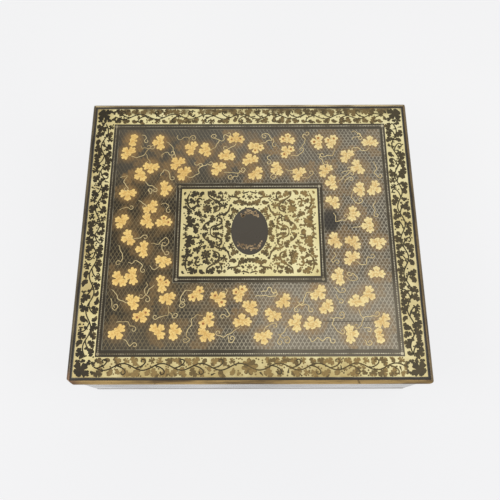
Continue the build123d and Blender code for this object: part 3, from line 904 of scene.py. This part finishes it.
tendrils = (
    (-139,96, -134.5,94, -127,95.5, -122.5,99.5, -119.5,106.5, -115,105), (-122,99, -119.5,93, -116.5,88.5),
    (-128.5,109.5, -127.5,106, -124,107.5, -120,105.5), (-128,124, -124,123, -122,119.5, -124.5,118),
    (-99,115, -93,111, -90,105, -89,99, -87,96), (-102.5,94.5, -103,97.5, -100.5,100.5, -97,101, -94,97.5,
    -90,97.5), (-85.5,123.5, -87,121, -83,117.5, -80,118, -78,121.5, -74.5,121, -72,119, -70,122.5, -66,123,
    -64,120.5), (-72,119, -72,113, -70,109), (-45.5,103.5, -41,107, -36.5,114.5, -36,117, -39,119, -43.5,119,
    -45.5,122, -43.5,124.5), (-36,117, -33,115, -30,118, -30.5,123, -28.5,125, -26,122.5), (-16,112.5,
    -19,108, -24,106.5, -27.5,104), (-72.5,69, -69,67.5, -63,70.5, -59,73, -59.5,79, -56.5,83, -52,83,
    -49,86, -47,84), (-64,88, -65,85, -61,84, -58,86), (-30,74, -23,74.5, -17,73.5, -11,74, -11.5,77, -7,74,
    -5,77), (-13.5,73, -14,69, -19,69, -21,65, -24.5,66, -25,68.5), (-150,68, -142,71, -146,62, -140,55),
    (-121,63, -118,59, -112,57, -107,54), (-117,53, -114,47, -112,51), (-104,70, -100,78, -94,76, -92,66),
    (-127,39, -122,36, -118,33), (-148,27, -144,30, -140,31, -136,28), (-101,34, -96,36, -92,33, -95,27),
    (12,112, 17,113, 22,116, 27,117, 24,123, 20,126, 16,125, 15,122), (28,119, 29,114, 27,111), (49,96,
    56,96, 60,98, 64,103), (62,107, 65,113, 67,118, 63,121, 65,125, 68,123), (25,97, 21,95, 22,91, 25,89),
    (42,78, 46,76, 49,77), (31,68, 27,65, 24,68, 27,72), (61,67, 68,67, 74,72), (101,106, 100,100, 98,96,
    91,96, 86,94), (80,98, 84,97, 82,93, 86,90, 87,85), (142,107, 138,102, 132,103, 127,107, 122,106),
    (122,117, 125,121, 131,121), (122,127, 126,129, 130,125, 134,121), (102,61, 108,67, 113,71, 118,75),
    (107,73, 112,76, 117,76), (110,60, 112,65, 117,68), (118,50, 117,42, 120,37, 125,34, 129,37), (144,38,
    141,31, 143,25, 141,21), (145,88, 149,80, 145,73, 150,67), (95,23, 98,18, 97,12, 102,14, 108,14, 112,18),
    (116,5, 122,6, 128,8), (93,-24, 96,-28, 90,-33, 92,-36, 95,-33), (117,-34, 122,-38, 128,-39, 129,-34,
    131,-29, 135,-31), (104,-52, 108,-55, 113,-57, 117,-56, 117,-52, 113,-48, 111,-51), (92,-64, 95,-67,
    98,-70, 102,-70), (93,-72, 95,-77, 99,-77), (6,-74, 14,-73, 22,-74, 28,-74), (12,-69, 18,-68, 20,-64,
    24,-65, 24,-69), (68,-69, 62,-70, 59,-75, 58,-81, 53,-84, 48,-87), (51,-80, 55,-84, 60,-83, 64,-85,
    63,-89), (44,-104, 39,-108, 36,-113, 32,-117, 29,-123), (30,-115, 34,-119, 40,-118, 43,-121, 41,-124),
    (15,-112, 17,-107, 22,-105, 26,-103), (62,-118, 65,-123, 70,-121, 72,-118, 76,-123, 80,-119, 85,-119,
    85,-123), (86,-97, 88,-99, 92,-97, 97,-99, 101,-97, 101,-93), (89,-98, 88,-105, 91,-110, 97,-115),
    (116,-88, 119,-95, 121,-99, 119,-105, 115,-109), (121,-98, 126,-96, 132,-96, 137,-96), (121,-108,
    123,-109, 126,-108), (121,-121, 123,-126, 126,-127), (-130,-8, -122,-6, -118,-3), (-146,-15, -144,-20,
    -142,-24, -140,-30, -142,-34, -145,-33), (-134,-35, -130,-37, -127,-33, -121,-35, -118,-39, -120,-44),
    (-110,-13, -101,-14, -98,-9, -94,-6, -90,-9, -91,-13, -94,-16), (-99,-14, -97,-20, -94,-26), (-110,-39,
    -107,-43, -103,-43, -99,-40), (-113,-58, -111,-62, -115,-67, -112,-72, -108,-76), (-104,-61, -110,-67,
    -112,-72, -116,-76), (-150,-66, -144,-71, -143,-76, -137,-79, -133,-81), (-150,-76, -148,-82, -148,-87,
    -145,-89, -142,-86), (-63,-67, -69,-67, -73,-71, -75,-78), (-75,-81, -72,-80, -69,-83, -72,-86),
    (-27,-65, -24,-68, -26,-72), (-27,-87, -24,-90, -21,-94, -25,-97, -27,-94), (-88,-84, -87,-90, -84,-93,
    -82,-97, -79,-97), (-87,-91, -88,-95, -96,-96, -100,-99), (-50,-95, -56,-94, -62,-98, -62,-105, -67,-112,
    -67,-117, -63,-121, -67,-124), (-142,-102, -135,-101, -129,-102, -127,-106, -122,-107), (-133,-120,
    -129,-123, -126,-128, -123,-124), (-10,-107, -16,-111, -22,-115, -28,-118, -35,-116), (-23,-117,
    -22,-123, -18,-124, -16,-120),
)

tendrilLook = dict(
    width=0.9,
    wave=0.5,  # how far the lines sway to either side, in mm
    waveLength=9,
    curl=2,  # length of the first step of the curl at the end
    curlSteps=7,
    curlTurn=42,  # degrees at each step
    gold=(240, 218, 160), dim=(204, 178, 124),
)


def curled(path, way):
    # the path with a light wave, rolled up at its end
    look = tendrilLook
    points = []
    run = 0
    for (x0, y0), (x1, y1) in zip(path, path[1:]):
        dx, dy = x1 - x0, y1 - y0
        length = hypot(dx, dy)
        parts = max(1, round(length / 2))
        for share in [n / parts for n in range(parts)]:
            sway = look["wave"] * sin(2 * pi * (run + length * share) / look["waveLength"]) / length
            points.append((x0 + dx * share - dy * sway, y0 + dy * share + dx * sway))
        run += length
    turn = atan2(dy, dx)
    points.append((x1, y1))
    for n in range(look["curlSteps"]):
        turn += way * radians(look["curlTurn"])
        step = look["curl"] * (1 - 0.08 * n)
        x1, y1 = x1 + step * cos(turn), y1 + step * sin(turn)
        points.append((x1, y1))
    return points


def buildTendrils():
    look = tendrilLook
    paths = [curled(pairs(path), choice((-1, 1))) for path in tendrils]
    lines = strokes(paths, look["width"], 0.35, onLid("field"), 3,
            lambda along: 0.75 + 0.3 * sin(pi * along))
    finishPiece([lines], "tendrils", lineFinish("tendrilGold", look["gold"], look["dim"], 0.25, 0.2))
    print("tendrils done")


# Centre panel: a gold ground, scrolling vine in four mirrored quarters, and a black oval

centreLook = dict(
    ground=(77.6, -51.3, 53.1),
    quarter=(76.2, 50.4),  # how far the painting reaches from the middle
    middleY=1, ovalX=20.8, ovalY=28.4, ovalBlack=(76, 70, 60), strokeWidth=1.65,
    filling=((4.4, 600), (3.4, 700), (2.5, 800), (0.95, 500)),  # radius and tries
    leafGap=1.6,  # the smallest radius of a leaf that is kept
    heart=(5, 2.4, 0.38),  # spots in a flower, their distance from its middle and their size
    heartGold=((206, 184, 122), (160, 134, 84)),
    # sprays above and below the oval's middle: side, distance and reach
    sprays=((1, 15.5, 9.5), (-1, 11.5, 13)), spraySpots=44,
    sprayGold=((204, 176, 134), (146, 120, 86)),
)
# one quarter: x, y, heading and size of leaves, the flower, and scrolls as x,y
quarterLeaves = (
    (68,12,175,12.5), (54,12,100,11), (42.5,15,200,8.5), (26.5,21.5,150,11.5), (62,0,180,10.5),
    (23.2,0,180,9), (25.5,8.5,200,8), (28.5,30.5,70,9.5), (36.5,35.5,70,9.5), (58,35.5,110,9.5),
    (58.5,20.5,120,8.5), (69.5,24,180,7.5), (73,33.5,100,6.5), (71.5,44,200,8.5), (62.5,45.5,60,9),
    (53,46,40,8.5), (43,45.5,120,9.5), (33.5,46.5,90,9), (24,42.5,200,9.5), (14,46,60,8.5), (5,46.5,20,7.5),
    (17,36.5,250,9), (7.5,35.5,290,9), (0,33,90,6.5), (0,41,90,7), (48,36.5,250,7.5), (65,29.5,250,7.5),
    (50,4.5,330,8), (38,3,90,7), (73,3.5,180,7), (45,22.5,60,7.5), (31,38,90,7), (21.5,31,200,7.5),
    (38,28,20,7),
)
quarterFlower = (48.5, 27.5, 10.5)
quarterScrolls = (
    (44.2,0, 44.2,3.5, 41,6.5, 35,7.4, 31.3,10.5, 31.6,15.2, 35,17, 37.2,14.4, 35.6,12.3), (47.5,49.5, 48,45,
    44.5,41, 38.5,37.5, 33.8,33, 33.4,27.5, 36.5,24, 41,24), (68.5,46.5, 71,42.5, 71,34, 68.5,28.5, 62,25.5),
    (24.5,45, 22,42, 16,42.6, 11.5,40, 12.3,36.5), (9,47.5, 4,46.5, 0.6,49), (22,33, 22.5,27.5, 26,21.5,
    32,20.3, 36.5,20, 38.5,17), (56,30, 60,34, 59.5,40, 55.5,40.5, 54,38), (31,45, 29.5,41.5, 33,39.5),
    (75,9, 69,5.5, 62,8.5, 56,6), (53,3, 52,8.5, 46,12),
)


def buildCentre():
    look = centreLook
    middleY, ovalX, ovalY = look["middleY"], look["ovalX"], look["ovalY"]
    hole = (ovalX / 2, middleY - ovalX / 2, middleY + ovalX / 2)
    ground = flatRing(look["ground"], hole, onLid("field"), levels["centreGround"] - levels["field"])
    finishPiece([ground], "centreGold", goldGroundFinish("centreGround", False))

    masters = [modelFlat(form) for form in (fanLeaf, vineLeaf, curlLeaf, roseForm, berryForm)]
    fan, vine, curl, rose, berry = masters
    height = onLid("centreGround")
    # the chosen leaves shrink to keep a gap of gold; leaflets and berries fill the rest
    scrollPaths = [pairs(numbers) for numbers in quarterScrolls]
    flowerX, flowerY, flowerSize = quarterFlower
    placed = [(flowerX, flowerY, flowerSize / 2)] + [(x, y, 0.2) for path in scrollPaths for x, y in path]
    filling, berries = [], []
    for x, y, heading, size in quarterLeaves:
        radius = min([size / 2] + [hypot(x - px, y - py) - other * 0.94 for px, py, other in placed])
        if radius > look["leafGap"]:
            placed.append((x, y, radius))
            filling.append((x, y, heading, radius * 2))
    for radius, tries in look["filling"]:
        for n in range(tries):
            x, y = (uniform(radius, edge - radius) for edge in look["quarter"])
            inOval = hypot(x / (ovalX + radius), y / (ovalY + radius)) < 1
            if inOval or not hasRoom(x, y, radius, placed, 0.96):
                continue
            placed.append((x, y, radius))
            if radius > look["leafGap"]:
                filling.append((x, y, uniform(0, 360), radius * 2))
            else:
                berries.append((x, y, radius))
    copies, scrolls, hearts = [], [], []
    for sideX, sideY in quarters:
        def toLid(x, y, slack=0):
            return sideX * x + uniform(-slack, slack), middleY + sideY * y + uniform(-slack, slack)

        for number, (x, y, heading, size) in enumerate(filling):
            # a leaf on an axis is placed once
            if (y == 0 and sideY < 0) or (x == 0 and sideX < 0):
                continue
            place = toLid(x, y, 0.3)
            turn = degrees(atan2(sideY * sin(radians(heading)), sideX * cos(radians(heading))))
            copies.append(copyTo((vine, fan, vine, curl, vine)[number % 5], *place, turn + uniform(-8, 8),
                    size / 10 * uniform(1, 1.13), height + uniform(0, 0.06)))
        copies.append(copyTo(rose, *toLid(flowerX, flowerY, 0.3), 12, flowerSize / 10, height))
        copies += [copyTo(berry, *toLid(x, y, 0.2), 0, size, height) for x, y, size in berries]
        scrolls += [[toLid(x, y) for x, y in path] for path in scrollPaths]
    ink = inkFinish("centreInk", -50, 65, 0.92)
    finishPiece(copies, "centreLeaves", ink)
    lines = strokes(scrolls, look["strokeWidth"], 0.25, height, 6,
            lambda along: 0.55 + 0.85 * sin(pi * min(1, along * 0.9 + 0.05)))
    finishPiece([lines], "centreScrolls", ink)
    # flower hearts show the gold again
    spots, away, size = look["heart"]
    for sideX, sideY in quarters:
        for turn in [radians(360 / spots * n + 20) for n in range(spots)]:
            x, y = sideX * flowerX + away * cos(turn), middleY + sideY * flowerY + away * sin(turn)
            hearts.append(copyTo(berry, x, y, 0, size, height + 0.11))
    finishPiece(hearts, "flowerHearts", lineFinish("heartGold", *look["heartGold"], 0.2))

    # the oval, and dull gold sprays at its top and foot
    oval = modelFlat(dict(berryForm, points=96, rings=((1, 0.21), (0.97, 0.03))))
    oval.data.transform(Matrix.Translation((0, (middleY + 0.4) * mm, height * mm))
            @ Matrix.Diagonal((ovalX, ovalY, 1, 1)))
    ovalLook = dict(lacquerLook, coat=0.1, black=look["ovalBlack"])
    finishPiece([oval], "centreOval", lacquerFinish("ovalLacquer", ovalLook, 0.3))
    sprays = []
    for side, low, reach in look["sprays"]:
        for n in range(look["spraySpots"]):
            along = (n + 0.5) / look["spraySpots"] * 2 - 1
            x = along * reach + uniform(-0.6, 0.6)
            y = middleY + side * (low + (1 - along * along) * 5 + uniform(0, 6))
            sprays.append(copyTo(fan, x, y, uniform(0, 360), uniform(0.18, 0.3), height + 0.23))
    finishPiece(sprays, "ovalSprays", lineFinish("sprayGold", *look["sprayGold"], 0.2))
    dropMasters(*masters)
    print("centre panel done")


# The boxes inside: a gilt line and three leaves on each slip lid

slipLook = dict(
    inset=7.5,  # of the line from the edge, in mm
    width=0.9,
    leafAway=8.5,  # of the leaves from the middle
    leafSize=0.8, bright=(222, 186, 112), dim=(150, 116, 62),
)


def gildSlipLids():
    look = slipLook
    leaf, away = modelFlat(giltForms[0]), look["leafAway"]
    finish = lineFinish("slipGilt", look["bright"], look["dim"], 0.3)
    names = [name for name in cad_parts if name.startswith("slip_lid_")]
    for name in names:
        low, high = (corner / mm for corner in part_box(name))
        middle, half = (low + high) / 2, (high - low) / 2
        edge = widened((half.x, -half.y, half.y), -look["inset"])
        top = high.z - 0.02
        ring = flatRing(edge, widened(edge, -look["width"]), top, 0.08)
        ring.data.transform(Matrix.Translation((middle.x * mm, middle.y * mm, 0)))
        parts = [ring]
        for n in range(3):
            turn = 90 + 120 * n + uniform(-10, 10)
            x, y = middle.x + away * cos(radians(turn)), middle.y + away * sin(radians(turn))
            parts.append(copyTo(leaf, x, y, turn, look["leafSize"], top))
        finishPiece(parts, "gilt_" + name, finish, body=name)
    dropMasters(leaf)
    print(len(names), "slip lids gilded")


# Floor, light and camera

sceneLook = dict(
    floor=(249, 249, 249), floorShade=(240, 240, 242), floorSize=6,
    floorGlow=0.88,  # share of plain white, which keeps the shadow faint
    world=0.5,
    softbox=11,  # watts, each
    softboxSize=0.9, softboxPlaces=((-1.25, -0.35, 1.35), (1.25, -0.35, 1.35)),
)


def buildStudio():
    look = sceneLook
    bpy.ops.mesh.primitive_plane_add(size=look["floorSize"])
    floor = bpy.context.object
    floor.name = floor.data.name = "studioFloor"
    newFinish("paperFloor", 0.9, sheen=0.2)
    tone = layers(look["floor"], (noise(900, 2), look["floorShade"]))
    floor.data.materials.append(endFinish(tone))
    rays = addNode('LightPath')
    seen = most(*(rays[f"Is {kind} Ray"] for kind in ("Camera", "Glossy", "Transmission")))
    glow = addNode('Emission', {"Color": tone})[0]
    seen = times(seen, look["floorGlow"])
    both = addNode('MixShader', {0: seen, 1: making["shader"].outputs[0], 2: glow})[0]
    making["tree"].links.new(both, making["tree"].nodes["Material Output"].inputs["Surface"])

    world = bpy.context.scene.world = bpy.data.worlds.new("studioWorld")
    world.use_nodes = True
    background = world.node_tree.nodes["Background"].inputs
    background["Color"].default_value = (1, 1, 1, 1)
    background["Strength"].default_value = look["world"]

    for place in look["softboxPlaces"]:
        turn = Vector(place).to_track_quat('Z', 'Y').to_euler()
        bpy.ops.object.light_add(type='AREA', location=place, rotation=turn)
        lamp = bpy.context.object.data
        lamp.size = look["softboxSize"]
        lamp.energy = look["softbox"]


cameraLook = dict(
    place=(0.0016, -0.2177, 0.6937), lens=39.96,
    tilt=18.59,  # degrees from looking straight down
    turn=0.35, roll=-0.49,
)


def placeCamera():
    look = cameraLook
    bpy.ops.object.camera_add()
    bpy.context.scene.camera = camera = bpy.context.object
    camera.data.lens = look["lens"]
    camera.data.sensor_width = 36
    view = Matrix.Translation(look["place"])
    for way, axis in (("turn", 'Z'), ("tilt", 'X'), ("roll", 'Z')):
        view = view @ Matrix.Rotation(radians(look[way]), 4, axis)
    camera.matrix_world = view


dressBox()
buildField()
buildBorder()
buildLines()
buildTendrils()
buildLeaves()
buildCentre()
gildSlipLids()
buildStudio()
placeCamera()
bpy.context.scene.view_settings.view_transform = 'Standard'
